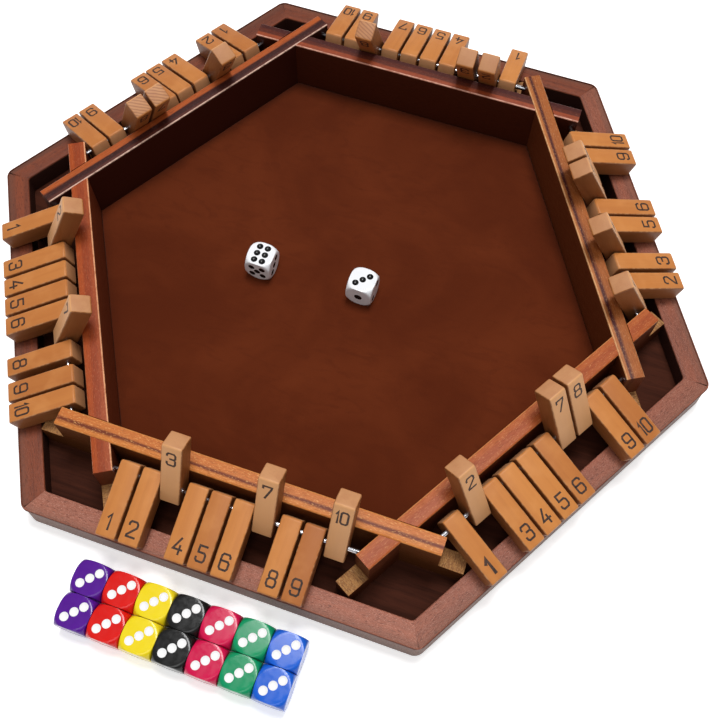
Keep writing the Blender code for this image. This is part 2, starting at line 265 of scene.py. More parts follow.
def end_grain_material(name, ring_strength):
    """Sawn end of a tile: paler wood with pores and more or less marked growth rings."""
    g = Graph(name)
    place = g.place()
    rings = g.node("ShaderNodeTexWave", wave_type="RINGS", rings_direction="Y")
    shifted = g.node("ShaderNodeVectorMath", operation="ADD")
    g.put(shifted.inputs[0], place)
    shifted.inputs[1].default_value = (0.004, 0.0, -0.012)
    g.put(rings.inputs["Vector"], shifted.outputs[0])
    rings.inputs["Scale"].default_value = 190.0
    rings.inputs["Distortion"].default_value = 1.6
    rings.inputs["Detail"].default_value = 2.0
    pores = g.noise(place, 2200.0, 2.0)
    clouds = g.noise(place, 160.0, 2.0)
    base = g.mix(g.tone(), srgb(218, 160, 110), srgb(172, 112, 70))
    base = g.mix(g.ramp(clouds, 0.35, 0.7, 0.0, 0.35), base, srgb(176, 112, 70))
    base = g.mix(g.ramp(rings.outputs["Fac"], 0.45, 0.9, 0.0, ring_strength), base, srgb(142, 84, 56))
    base = g.mix(g.ramp(pores, 0.6, 0.75, 0.0, 0.2), base, srgb(120, 70, 40))
    g.bump(pores, 0.12, 0.0003)
    return g.surface(base, 0.6)


def print_material():
    """Dark brown ink that has soaked unevenly into the wood."""
    g = Graph("number_ink")
    soak = g.noise(g.place(), 900.0, 3.0)
    base = g.mix(g.ramp(soak, 0.35, 0.75), srgb(38, 24, 18), srgb(84, 52, 34))
    return g.surface(base, 0.62)


def stained_material(name, tones, dark, edge, wall, splits, inner_edge_wear_and_highlight, lines):
    """Stained and varnished rail wood: three tones across its width, light edge lines that are partly
    wear and partly painted highlight, and dark walls that are partly a dark finish and partly painted
    shade.

    The tones run from the outer to the inner face, and the splits are the distances of the middle
    one's two sides from the outer face. The last two values are the strength of the inner edge's
    light line, partly wear and partly painted highlight, and the strength of the light flecks.
    """
    g = Graph(name)
    outer, middle, inner = (srgb(*tone) for tone in tones)
    dark, edge, wall = srgb(*dark), srgb(*edge), srgb(*wall)
    place = g.place()
    streaks, bands = grain(g, place, 0, 3000.0, 260.0)
    raw = g.axes(g.place(shift=False))
    across = g.maths("ADD", raw[1], g.maths("MULTIPLY", g.maths("SUBTRACT", bands, 0.5), 0.003))
    first, second = ((-RAIL_OUTER + split) * MM for split in splits)
    low = g.ramp(across, first - 0.0007, first + 0.0007)
    high = g.ramp(across, second - 0.0007, second + 0.0007)
    base = g.mix(high, g.mix(low, outer, middle), inner)
    base = g.mix(g.ramp(streaks, 0.45, 0.75, 0.0, 0.6), base, dark)
    flecks = g.noise(g.stretched(place, (700.0, 2600.0, 2600.0)), 1.0, 2.0, 0.6)
    base = g.mix(g.ramp(flecks, 0.56, 0.7, 0.0, lines), base, edge)
    # Light lines in the edge colour along the top's inner and outer edges: partly wear, partly painted
    # highlight.
    top = g.ramp(raw[2], (RAIL_TOP - 1.0) * MM, (RAIL_TOP - 0.05) * MM)
    out_edge = g.ramp(raw[1], -(RAIL_OUTER - 0.1) * MM, -(RAIL_OUTER - 0.5) * MM, 0.5, 0.0)
    in_edge = g.ramp(raw[1], -(RAIL_INNER + 0.8) * MM, -(RAIL_INNER + 0.35) * MM)
    edge_patchiness = g.noise(place, 300.0, 4.0, 0.7)
    in_wear_and_highlight = g.maths("MULTIPLY", in_edge, g.ramp(edge_patchiness, 0.3, 0.6, inner_edge_wear_and_highlight * 0.4, inner_edge_wear_and_highlight))
    out_wear_and_highlight = g.maths("MULTIPLY", out_edge, g.ramp(edge_patchiness, 0.4, 0.6, 0.2, 1.0))
    # wear holds both the wear and the painted highlight of the two edges.
    wear = g.maths("MULTIPLY", g.maths("MAXIMUM", in_wear_and_highlight, out_wear_and_highlight), top)
    base = g.mix(wear, base, edge)
    # Painted shade, partly a dark finish: below the top, every face is mixed 85% towards the side's dark
    # wall colour.
    lit = g.ramp(raw[2], (RAIL_TOP - 1.1) * MM, (RAIL_TOP - 0.4) * MM)
    base = g.mix(lit, g.mix(0.85, base, wall), base)
    g.bump(g.maths("ADD", streaks, g.maths("MULTIPLY", flecks, 0.5)), 0.2, 0.0004)
    rough = g.ramp(streaks, 0.3, 0.8, 0.4, 0.58)
    return g.surface(base, rough, Coat_Weight=0.05, Coat_Roughness=0.3, Specular_IOR_Level=0.18)


def rim_material():
    """Reddish-brown varnish over open-pored wood, with a painted pale reflection and painted glints that
    are stronger on some strips.
    """
    g = Graph("rim_varnish")
    place = g.place()
    streaks, bands = grain(g, place, 0, 2600.0, 420.0)
    specks = g.noise(g.stretched(place, (1300.0, 4200.0, 4200.0)), 1.0, 3.0, 0.7)
    base = g.mix(g.ramp(bands, 0.35, 0.7), srgb(128, 60, 32), srgb(98, 44, 24))
    # Painted reflection: a pale pinkish wash, as strong as the strip's tone.
    base = g.mix(g.maths("MULTIPLY", g.tone(), 0.65), base, srgb(196, 126, 104))
    base = g.mix(g.ramp(streaks, 0.5, 0.7, 0.0, 0.8), base, srgb(78, 36, 24))
    # Painted glints: pale pink specks, stronger on strips with a higher tone.
    painted_glints = g.maths("MULTIPLY", g.ramp(specks, 0.52, 0.66), g.tone())
    base = g.mix(g.maths("MULTIPLY", painted_glints, 0.7), base, srgb(226, 170, 148))
    raw = g.axes(g.place(shift=False))
    top = g.ramp(raw[2], (FRAME_TOP - 1.2) * MM, (FRAME_TOP - 0.3) * MM)
    base = g.mix(top, g.mix(0.75, base, srgb(104, 86, 76)), base)
    inside = g.ramp(raw[1], -(FRAME_INNER + 0.6) * MM, -(FRAME_INNER + 0.1) * MM)
    wall = g.maths("MULTIPLY", inside, g.maths("SUBTRACT", 1.0, top))
    base = g.mix(wall, base, srgb(52, 28, 22))
    outer = g.ramp(raw[1], -(FRAME_APOTHEM - 0.1) * MM, -(FRAME_APOTHEM - 0.75) * MM, 1.0, 0.0)
    lip = g.maths("MULTIPLY", outer, g.ramp(raw[2], (FRAME_TOP - 1.1) * MM, (FRAME_TOP - 0.5) * MM))
    base = g.mix(g.maths("MULTIPLY", lip, 0.75), base, srgb(62, 32, 26))
    g.bump(g.maths("ADD", specks, streaks), 0.35, 0.0004)
    rough = g.ramp(specks, 0.4, 0.7, 0.55, 0.35)
    return g.surface(base, rough, Coat_Weight=0.04, Coat_Roughness=0.3, Specular_IOR_Level=0.2)


def felt_material():
    """Short brown pile with faint brushed patches."""
    g = Graph("brown_felt")
    place = g.place(shift=False)
    patches = g.noise(place, 16.0, 4.0, 0.55, 0.8)
    nap = g.noise(g.stretched(place, (60.0, 150.0, 60.0)), 1.0, 4.0, 0.6, 1.2)
    fibres = g.noise(place, 2600.0, 2.0, 0.7)
    base = g.mix(g.ramp(patches, 0.3, 0.72), srgb(82, 32, 13), srgb(98, 42, 19))
    base = g.mix(g.ramp(nap, 0.45, 0.75, 0.0, 0.5), base, srgb(78, 30, 13))
    base = g.mix(g.ramp(fibres, 0.3, 0.8, 0.0, 0.18), base, srgb(116, 54, 26))
    g.bump(g.maths("ADD", fibres, nap), 0.2, 0.0003)
    return g.surface(base, 0.95, Sheen_Weight=0.05, Sheen_Roughness=0.5, Specular_IOR_Level=0.05)


def floor_material():
    """Dark board under the troughs: partly a dark stain, partly painted shade of the troughs."""
    g = Graph("dark_floor")
    streaks, bands = grain(g, g.place(shift=False), 0, 1500.0, 160.0)
    # Painted shade, partly dark stain: the board's colours are set very dark to stand in for the shade in
    # the troughs.
    base = g.mix(g.ramp(bands, 0.3, 0.75), srgb(72, 36, 24), srgb(54, 26, 17))
    base = g.mix(g.ramp(streaks, 0.5, 0.75, 0.0, 0.4), base, srgb(32, 15, 9))
    g.bump(streaks, 0.15, 0.0004)
    return g.surface(base, 0.75, Specular_IOR_Level=0.06)


def steel_material():
    """Drawn steel wire with faint rings from drawing and a few dull marks."""
    g = Graph("steel_rod")
    place = g.place(shift=False)
    marks = g.noise(g.stretched(place, (4200.0, 600.0, 600.0)), 1.0, 2.0)
    dull = g.noise(place, 240.0, 3.0)
    base = g.mix(g.ramp(dull, 0.4, 0.75), srgb(232, 232, 236), srgb(176, 176, 182))
    g.bump(marks, 0.08, 0.0002)
    return g.surface(base, g.ramp(dull, 0.3, 0.7, 0.12, 0.26), Metallic=1.0)


def plastic_material(name, colour, shade):
    """Glossy moulded plastic with a hint of uneven colour and a soft surface ripple."""
    g = Graph(name)
    place = g.place(shift=False)
    clouds = g.noise(place, 130.0, 2.0)
    ripple = g.noise(place, 420.0, 2.0)
    base = g.mix(g.ramp(clouds, 0.3, 0.75, 0.0, 0.35), colour, shade)
    g.bump(ripple, 0.04, 0.0003)
    rough = g.ramp(ripple, 0.3, 0.7, 0.13, 0.2)
    return g.surface(base, rough, Specular_IOR_Level=0.3)


# Meshes


def put_mesh(name, shape, materials, smooth=35.0, recalc=True):
    """Make an object from a bmesh."""
    if recalc:
        bmesh.ops.recalc_face_normals(shape, faces=shape.faces)
    data = bpy.data.meshes.new(name)
    shape.to_mesh(data)
    shape.free()
    for item in materials:
        data.materials.append(item)
    if smooth:
        data.shade_smooth()
        data.set_sharp_from_angle(angle=math.radians(smooth))
    made = bpy.data.objects.new(name, data)
    bpy.context.scene.collection.objects.link(made)
    return made


def mark(item, seed, tone):
    """Give a piece its own texture shift and tone."""
    dice = random.Random(seed)
    count = len(item.data.vertices)
    shift = [dice.uniform(0.0, 5.0) for _ in range(3)]
    vectors = item.data.attributes.new("piece", "FLOAT_VECTOR", "POINT")
    vectors.data.foreach_set("vector", shift * count)
    tones = item.data.attributes.new("tone", "FLOAT", "POINT")
    tones.data.foreach_set("value", [tone] * count)
    return item


def seat(item, body, nodes, matrix=None):
    """Place a piece, let it ride on its body and stand for its solids."""
    if matrix is not None:
        item.matrix_world = matrix
    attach(item, body)
    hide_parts(*nodes)


def side_matrix(side):
    """The turn from the front to another side."""
    return Matrix.Rotation(math.radians(60 * side), 4, "Z")


def loop(shape, points):
    """Add a row of points, given in millimetres."""
    return [shape.verts.new(Vector(point) * MM) for point in points]


def skin(shape, first, second, closed=True):
    """Join two rows of points with faces."""
    count = len(first)
    for i in range(count if closed else count - 1):
        j = (i + 1) % count
        shape.faces.new((first[i], first[j], second[j], second[i]))


def rounding(radius, steps):
    """How far to go in and along for each step of a quarter round, from the end face outwards."""
    turns = [math.pi / 2 * i / steps for i in range(steps + 1)]
    return [(radius * (1 - math.sin(t)), radius * (1 - math.cos(t))) for t in turns]


def tile_outline(inset):
    """Side view of a tile round the rod: the outer end has the lower y."""
    steps = 4
    half = TILE_THICK / 2 - inset
    outer = -TILE_REACH + inset
    inner = TILE_HEEL - inset
    radius = TILE_CORNER
    corners = ((inner, half, 0), (outer, half, 1), (outer, -half, 2), (inner, -half, 3))
    points = []
    for y, z, quarter in corners:
        cy = y - math.copysign(radius, y)
        cz = z - math.copysign(radius, z)
        for step in range(steps + 1):
            turn = math.pi / 2 * (quarter + step / steps)
            points.append((cy + radius * math.cos(turn), cz + radius * math.sin(turn)))
    return points


def ring(radius, count=20):
    """Points round a circle."""
    turns = [math.tau * (i + 0.5) / count for i in range(count)]
    return [(radius * math.cos(turn), radius * math.sin(turn)) for turn in turns]


def fill_between(shape, outline, hole, facing):
    """Fill the flat face between an outline and a hole in it."""
    edges = []
    for points in (outline, hole):
        for i, vertex in enumerate(points):
            following = points[(i + 1) % len(points)]
            edges.append(shape.edges.get((vertex, following)) or shape.edges.new((vertex, following)))
    bmesh.ops.triangle_fill(shape, edges=edges, use_beauty=True, normal=(facing, 0, 0))


# Tiles

# Strokes of the numbers, in a box one wide and one high
STROKES = {
    "1": [[(0.18, 0.76), (0.6, 1.0), (0.6, 0.0)]],
    "2": [[(0.02, 0.78), (0.02, 0.87), (0.18, 1.0), (0.82, 1.0), (1.0, 0.87), (1.0, 0.66),
           (0.04, 0.1), (0.04, 0.0), (1.0, 0.0)]],
    "3": [[(0.0, 0.8), (0.0, 0.88), (0.16, 1.0), (0.84, 1.0), (1.0, 0.88), (1.0, 0.64),
           (0.86, 0.53), (0.42, 0.53)],
          [(0.86, 0.53), (1.0, 0.42), (1.0, 0.12), (0.84, 0.0), (0.16, 0.0), (0.0, 0.12), (0.0, 0.22)]],
    "4": [[(0.66, 1.0), (0.0, 0.28), (1.0, 0.28)], [(0.74, 0.52), (0.74, 0.0)]],
    "5": [[(0.94, 1.0), (0.1, 1.0), (0.1, 0.58), (0.82, 0.58), (1.0, 0.46), (1.0, 0.13),
           (0.83, 0.0), (0.17, 0.0), (0.0, 0.12), (0.0, 0.22)]],
    "6": [[(0.98, 0.82), (0.98, 0.88), (0.82, 1.0), (0.18, 1.0), (0.0, 0.87), (0.0, 0.13),
           (0.17, 0.0), (0.83, 0.0), (1.0, 0.13), (1.0, 0.45), (0.84, 0.56), (0.04, 0.56)]],
    "7": [[(0.0, 0.82), (0.0, 1.0), (1.0, 1.0), (0.96, 0.84), (0.34, 0.0)]],
    "8": [[(0.5, 0.53), (0.8, 0.53), (0.94, 0.65), (0.94, 0.88), (0.79, 1.0), (0.21, 1.0),
           (0.06, 0.88), (0.06, 0.65), (0.2, 0.53), (0.5, 0.53)],
          [(0.78, 0.53), (1.0, 0.4), (1.0, 0.13), (0.83, 0.0), (0.17, 0.0), (0.0, 0.13),
           (0.0, 0.4), (0.22, 0.53)]],
    "0": [[(0.5, 1.0), (0.78, 1.0), (1.0, 0.88), (1.0, 0.12), (0.78, 0.0), (0.22, 0.0),
           (0.0, 0.12), (0.0, 0.88), (0.22, 1.0), (0.5, 1.0)]],
}
STROKES["9"] = [[(1 - x, 1 - y) for x, y in stroke] for stroke in STROKES["6"]]
DIGIT_HEIGHT = 7.2
DIGIT_WIDTH = 4.1
# Numbers with digits of another width: each digit's left side and width
NUMBER_LAYOUT = {
    "1": (("1", -1.6, 3.0),),
    "10": (("1", -3.0, 1.7), ("0", -0.55, 3.3)),
}
STROKE = 1.0
BOLD_STROKE = 1.7
# Tiles whose number is printed in bold
BOLD_NUMBERS = ((1, 1),)
INK_RISE = 0.03
INK_STEP = 0.012
INK_DEPTH = 0.12
PRINT_MARGIN = 3.6


def stroke_ribbon(shape, path, width, lift, place):
    """A closed ribbon along a path, with mitred corners, set into the surface."""
    closed = path[0] == path[-1]
    points = path[:-1] if closed else path
    sides = []
    count = len(points)
    for i, point in enumerate(points):
        here = Vector(point)
        back = Vector(points[i - 1]) if i or closed else None
        ahead = Vector(points[(i + 1) % count]) if i < count - 1 or closed else None
        into = (here - back).normalized() if back is not None else (ahead - here).normalized()
        out = (ahead - here).normalized() if ahead is not None else into
        normal_in = Vector((-into.y, into.x))
        normal_out = Vector((-out.y, out.x))
        middle = (normal_in + normal_out).normalized()
        reach = min(width / 2 / max(middle.dot(normal_out), 0.35), width)
        if back is None:
            here = here - out * (width / 2)
        if ahead is None:
            here = here + into * (width / 2)
        sides.append((here + middle * reach, here - middle * reach))
    levels = []
    for height in (lift, -INK_DEPTH):
        spots = [[Vector(place(p.x, p.y, height)) for p in pair] for pair in sides]
        levels.append([[shape.verts.new(spot * MM) for spot in pair] for pair in spots])
    top, low = levels
    made = []
    for i in range(count if closed else count - 1):
        j = (i + 1) % count
        for a, b, c, d in (
            (top[i][0], top[j][0], top[j][1], top[i][1]),
            (low[i][1], low[j][1], low[j][0], low[i][0]),
            (low[i][0], low[j][0], top[j][0], top[i][0]),
            (top[i][1], top[j][1], low[j][1], low[i][1]),
        ):
            made.append(shape.faces.new((a, b, c, d)))
    if not closed:
        for i in (0, -1):
            made.append(shape.faces.new((top[i][0], top[i][1], low[i][1], low[i][0])))
    return made


def number_strokes(number):
    """The strokes of a number in millimetres, centred across and standing on zero."""
    text = str(number)
    usual = ((text, -DIGIT_WIDTH / 2, DIGIT_WIDTH),)
    strokes = []
    for digit, left, width in NUMBER_LAYOUT.get(text, usual):
        for stroke in STROKES[digit]:
            strokes.append([(left + x * width, y * DIGIT_HEIGHT) for x, y in stroke])
    return strokes


def print_number(shape, number, width):
    """Print a number on both wide faces of a tile, with its foot or its head at the free end."""
    half = TILE_THICK / 2
    low = -TILE_REACH + PRINT_MARGIN + STROKE / 2
    high = -TILE_REACH + PRINT_MARGIN + DIGIT_HEIGHT + STROKE / 2
    made = []
    for k, path in enumerate(number_strokes(number)):
        lift = INK_RISE + INK_STEP * k
        made += stroke_ribbon(shape, path, width, lift, lambda x, y, h: (x, low + y, half + h))
        made += stroke_ribbon(shape, path, width, lift, lambda x, y, h: (x, high - y, -half - h))
    return made


def make_tile(side, number, tone, materials):
    """One number tile: a rounded block with its rod hole and its number printed on both faces."""
    shape = bmesh.new()
    half = TILE_WIDTH / 2
    steps = rounding(TILE_EDGE, 3)
    stations = [(-half + along, tile_outline(inset)) for inset, along in steps]
    stations += [(half - along, tile_outline(inset)) for inset, along in reversed(steps)]
    loops = [loop(shape, [(x, y, z) for y, z in outline]) for x, outline in stations]
    for first, second in zip(loops, loops[1:]):
        skin(shape, first, second)
    soft = rounding(HOLE_EDGE, 2)
    bores = []
    for inset, along in soft:
        bores.append((-half + along, HOLE_RADIUS + inset))
    for inset, along in reversed(soft):
        bores.append((half - along, HOLE_RADIUS + inset))
    holes = [loop(shape, [(x, y, z) for y, z in ring(radius)]) for x, radius in bores]
    fill_between(shape, loops[0], holes[0], -1)
    fill_between(shape, loops[-1], holes[-1], 1)
    for first, second in zip(holes, holes[1:]):
        skin(shape, first, second)
    bmesh.ops.recalc_face_normals(shape, faces=shape.faces)
    for face in shape.faces:
        beyond_hole = face.calc_center_median().length > (TILE_HEEL - TILE_EDGE) * MM
        if abs(face.normal.y) > 0.9 and beyond_hole:
            face.material_index = 1
    ink = print_number(shape, number, BOLD_STROKE if (side, number) in BOLD_NUMBERS else STROKE)
    bmesh.ops.recalc_face_normals(shape, faces=ink)
    for face in ink:
        face.material_index = 2
    name = "tile_%s_no%d" % (SIDES[side], number)
    item = put_mesh(name, shape, materials, 40.0, recalc=False)
    return mark(item, 100 * side + number, tone)


def tile_place(side, number):
    """Distance of a tile's middle along its side."""
    slide = ROW_SLIDE[side] * ROW_SLACK + TILE_SLIDE.get((side, number), 0.0) * TILE_GAP
    return (number - (TILE_COUNT + 1) / 2) * TILE_PITCH + slide


def node_of(side, number):
    """The solid, and body of the same name, that holds a tile."""
    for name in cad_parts:
        parts = name.split("_")
        if parts[0] not in ("tile", "tiles"):
            continue
        words = [part for part in parts[1:] if not part.isdigit()]
        if "_".join(words) == SIDES[side] and str(number) in parts:
            return name
    raise ValueError("no solid for tile %d of %s" % (number, SIDES[side]))


# Tone of each tile, from light to dark, in the order of their numbers
TILE_TONES = (
    (0.35, 0.3, 0.4, 0.3, 0.55, 0.3, 0.35, 0.3, 0.75, 0.35),
    (0.4, 0.45, 0.35, 0.25, 0.3, 0.55, 0.5, 0.4, 0.35, 0.6),
    (0.5, 0.4, 0.35, 0.5, 0.35, 0.45, 0.6, 0.5, 0.4, 0.35),
    (0.3, 0.6, 0.55, 0.45, 0.4, 0.35, 0.45, 0.6, 0.4, 0.5),
    (0.6, 0.5, 0.55, 0.45, 0.5, 0.55, 0.4, 0.45, 0.5, 0.55),
    (0.5, 0.45, 0.5, 0.45, 0.55, 0.5, 0.4, 0.6, 0.65, 0.45),
)
# Tiles whose sawn ends show marked growth rings
RINGED_ENDS = ((3, 8), (4, 7), (4, 8))


def make_tiles():
    """Sixty tiles on their rods, standing or lying."""
    varnish, ink = tile_material(), print_material()
    ends = (end_grain_material("tile_end", 0.02), end_grain_material("tile_end_ringed", 0.55))
    for side in range(6):
        for number in range(1, TILE_COUNT + 1):
            materials = (varnish, ends[(side, number) in RINGED_ENDS], ink)
            item = make_tile(side, number, TILE_TONES[side][number - 1], materials)
            tilt = -STANDING if number in STANDING_TILES[side] else LYING
            spot = Vector((tile_place(side, number), -ROD_APOTHEM, ROD_HEIGHT)) * MM
            matrix = side_matrix(side) @ Matrix.Translation(spot) @ Matrix.Rotation(tilt, 4, "X")
            node = node_of(side, number)
            seat(item, node, [node], matrix)


# Rods and rails


def make_rods():
    """Steel rods with eased ends."""
    steel = steel_material()
    for side in range(6):
        shape = bmesh.new()
        ends = rounding(ROD_EDGE, 2)
        stations = [(-ROD_HALF + along, ROD_RADIUS - inset) for inset, along in ends]
        stations += [(ROD_HALF - along, ROD_RADIUS - inset) for inset, along in reversed(ends)]
        loops = []
        for x, radius in stations:
            points = [(x, -ROD_APOTHEM + y, ROD_HEIGHT + z) for y, z in ring(radius, 24)]
            loops.append(loop(shape, points))
        for first, second in zip(loops, loops[1:]):
            skin(shape, first, second)
        shape.faces.new(loops[0])
        shape.faces.new(loops[-1])
        item = put_mesh("steel_rod_" + SIDES[side], shape, [steel])
        seat(item, "board", ["rod_" + SIDES[side]], side_matrix(side))


def cutter_box(x, y, z, matrix):
    """A box to cut with, between ranges of x, y and z."""
    shape = bmesh.new()
    made = bmesh.ops.create_cube(shape, size=1)
    for vertex in made["verts"]:
        for axis, span in enumerate((x, y, z)):
            vertex.co[axis] = (span[1] if vertex.co[axis] > 0 else span[0]) * MM
    item = put_mesh("cutter", shape, [], smooth=None)
    item.matrix_world = matrix
    return item


def cutter_bar(start, end, matrix):
    """A round bar along the rod's line to cut with."""
    shape = bmesh.new()
    loops = []
    for x in (start, end):
        points = [(x, -ROD_APOTHEM + y, ROD_HEIGHT + z) for y, z in ring(HOLE_RADIUS, 20)]
        loops.append(loop(shape, points))
    skin(shape, loops[0], loops[1])
    shape.faces.new(loops[0])
    shape.faces.new(loops[1])
    item = put_mesh("cutter", shape, [], smooth=None)
    item.matrix_world = matrix
    return item


def carve(item, cutters):
    """Cut shapes out of a piece and keep the result as its mesh."""
    for tool in cutters:
        change = item.modifiers.new("cut", "BOOLEAN")
        change.operation = "DIFFERENCE"
        change.solver = "EXACT"
        change.object = tool
    bpy.context.view_layer.update()
    shaped = item.evaluated_get(bpy.context.evaluated_depsgraph_get())
    data = bpy.data.meshes.new_from_object(shaped)
    item.modifiers.clear()
    item.data = data
    for tool in cutters:
        bpy.data.objects.remove(tool)


def rail_shape():
    """A rail on edge with its low toes and rounded edges."""
    shape = bmesh.new()
    profile = (
        (-TOE_HALF, BOARD_TOP), (TOE_HALF, BOARD_TOP), (TOE_HALF, TOE_TOP), (RAIL_HALF, TOE_TOP),
        (RAIL_HALF, RAIL_TOP), (-RAIL_HALF, RAIL_TOP), (-RAIL_HALF, TOE_TOP), (-TOE_HALF, TOE_TOP),
    )
    near = loop(shape, [(x, -RAIL_OUTER, z) for x, z in profile])
    far = loop(shape, [(x, -RAIL_INNER, z) for x, z in profile])
    skin(shape, near, far)
    shape.faces.new(near)
    shape.faces.new(far)
    high = (RAIL_TOP - 0.1) * MM
    long_edges = []
    short_edges = []
    for edge in shape.edges:
        a, b = (v.co for v in edge.verts)
        top = a.z > high and b.z > high
        if top and abs(a.x - b.x) > 1 * MM:
            long_edges.append(edge)
        elif min(a.z, b.z) > (TOE_TOP - 0.1) * MM:
            short_edges.append(edge)
    bmesh.ops.bevel(
        shape, geom=long_edges, offset=RAIL_EDGE * MM, segments=4, profile=0.5, affect="EDGES"
    )
    short_edges = [edge for edge in short_edges if edge.is_valid]
    bmesh.ops.bevel(shape, geom=short_edges, offset=RAIL_END_EDGE * MM, segments=1, affect="EDGES")
    return shape


def lap_cutter(side):
    """The space that one rail takes out of the rails it crosses."""
    middle = (BOARD_TOP + RAIL_TOP) / 2
    upper = side % 2 == 0
    low = middle - GAP / 2 if upper else BOARD_TOP - 2
    high = RAIL_TOP + 2 if upper else middle + GAP / 2
    return cutter_box(
        (-TOE_HALF, TOE_HALF), (-RAIL_OUTER - 0.1, -RAIL_INNER + 0.1), (low, high), side_matrix(side)
    )


# Finish of each rail by side: tones across it, dark grain, light edge and fleck colour (the edge lines
# partly wear, partly painted highlight), wall colour (partly a dark finish, partly painted shade), where
# the tones change, strength of the inner edge's wear and painted highlight, and strength of the flecks
RAIL_LOOKS = (
    (((208, 124, 56), (112, 46, 20), (200, 114, 52)),
     (120, 54, 26), (242, 182, 112), (60, 24, 12), (2.4, 4.2), 0.4, 0.65),
    (((172, 84, 36), (164, 76, 32), (178, 90, 40)),
     (116, 48, 20), (226, 158, 100), (60, 24, 12), (3.0, 6.0), 0.7, 0.4),
    (((166, 94, 46), (76, 28, 28), (182, 108, 54)),
     (104, 50, 26), (238, 186, 132), (86, 32, 13), (5.4, 7.3), 1.0, 0.3),
    (((72, 30, 26), (92, 38, 24), (150, 66, 32)),
     (58, 24, 20), (244, 188, 164), (38, 13, 5), (3.2, 5.8), 1.0, 0.08),
    (((176, 86, 38), (54, 20, 18), (84, 34, 22)),
     (84, 34, 20), (246, 206, 184), (52, 18, 9), (3.9, 7.4), 1.0, 0.05),
    (((168, 74, 30), (150, 62, 26), (162, 72, 30)),
     (100, 40, 18), (244, 176, 130), (90, 38, 20), (3.0, 6.4), 1.4, 0.15),
)


def toe_material():
    """Sawn golden-brown wood where the rails were cut down."""
    g = Graph("sawn_toe")
    place = g.place()
    saw = g.noise(g.stretched(place, (2200.0, 500.0, 500.0)), 1.0, 3.0, 0.6)
    grit = g.noise(place, 1500.0, 3.0, 0.7)
    base = g.mix(g.ramp(saw, 0.35, 0.7), srgb(172, 120, 66), srgb(122, 76, 40))
    base = g.mix(g.ramp(grit, 0.5, 0.75, 0.0, 0.6), base, srgb(222, 176, 118))
    g.bump(g.maths("ADD", saw, grit), 0.5, 0.0005)
    return g.surface(base, 0.8)


def make_rails():
    """The rails, halved into each other, with their rod holes and sawn toes."""
    toe = toe_material()
    finishes = [stained_material("rail_%s_varnish" % SIDES[side], *RAIL_LOOKS[side]) for side in range(6)]
    for side, finish in enumerate(finishes):
        item = put_mesh("rail_piece_" + SIDES[side], rail_shape(), [finish, toe], 30.0)
        item.matrix_world = side_matrix(side)
        left, right = (side - 1) % 6, (side + 1) % 6
        tools = [
            lap_cutter(left),
            lap_cutter(right),
            cutter_bar(-ROD_HALF - GAP, -HOLE_START, side_matrix(right)),
            cutter_bar(HOLE_START, ROD_HALF + GAP, side_matrix(left)),
        ]
        carve(item, tools)
        for face in item.data.polygons:
            centre = face.center
            sawn = abs(centre.x) > (RAIL_HALF + 0.05) * MM and face.normal.z > 0.5
            face.material_index = 1 if sawn else 0
        mark(item, 700 + side, 0.5)
        seat(item, "board", ["rail_" + SIDES[side]])


# Frame and felt


def strip_path(apothem, radius, height):
    """Points along one side of the hexagon from mitre to mitre, with half of each rounded corner."""
    steps = 5
    centre = (apothem - radius) / math.cos(math.radians(30))
    points = []
    for corner, start in ((-120, -120), (-60, -90)):
        cx = centre * math.cos(math.radians(corner))
        cy = centre * math.sin(math.radians(corner))
        for step in range(steps + 1):
            turn = math.radians(start + 30 * step / steps)
            x = cx + radius * math.cos(turn)
            y = cy + radius * math.sin(turn)
            limit = -y * math.tan(math.radians(30)) - MITRE_GAP
            points.append((max(-limit, min(limit, x)), y, height))
    return points


# How strongly the strips of the frame carry the painted pale reflection and the painted glints, by side
RIM_PAINTED_REFLECTION = (0.75, 0.55, 0.38, 0.08, 0.06, 0.08)


def make_frame():
    """The outer frame as six mitred strips with hairline joints."""
    varnish = rim_material()
    edge = rounding(FRAME_EDGE, 3)
    foot = FRAME_FOOT_EDGE
    rebate = FRAME_INNER + FRAME_REBATE
    for side in range(6):
        stations = [
            (FRAME_APOTHEM - foot, FRAME_CORNER - foot, 0.0),
            (FRAME_APOTHEM, FRAME_CORNER, foot),
        ]
        for inset, along in reversed(edge):
            stations.append((FRAME_APOTHEM - along, FRAME_CORNER - along, FRAME_TOP - inset))
        for inset, along in edge:
            stations.append((FRAME_INNER + inset, FRAME_INNER_CORNER + inset, FRAME_TOP - along))
        stations += [
            (FRAME_INNER, FRAME_INNER_CORNER, BOARD_TOP),
            (rebate, FRAME_INNER_CORNER, BOARD_TOP),
            (rebate, FRAME_INNER_CORNER, 0.0),
        ]
        shape = bmesh.new()
        rows = [loop(shape, strip_path(*station)) for station in stations]
        for i, row in enumerate(rows):
            skin(shape, row, rows[(i + 1) % len(rows)], closed=False)
        shape.faces.new([row[0] for row in rows])
        shape.faces.new([row[-1] for row in rows])
        item = put_mesh("frame_strip_" + SIDES[side], shape, [varnish], 30.0)
        mark(item, 800 + side, RIM_PAINTED_REFLECTION[side])
        seat(item, "board", ["outer_frame"], side_matrix(side))


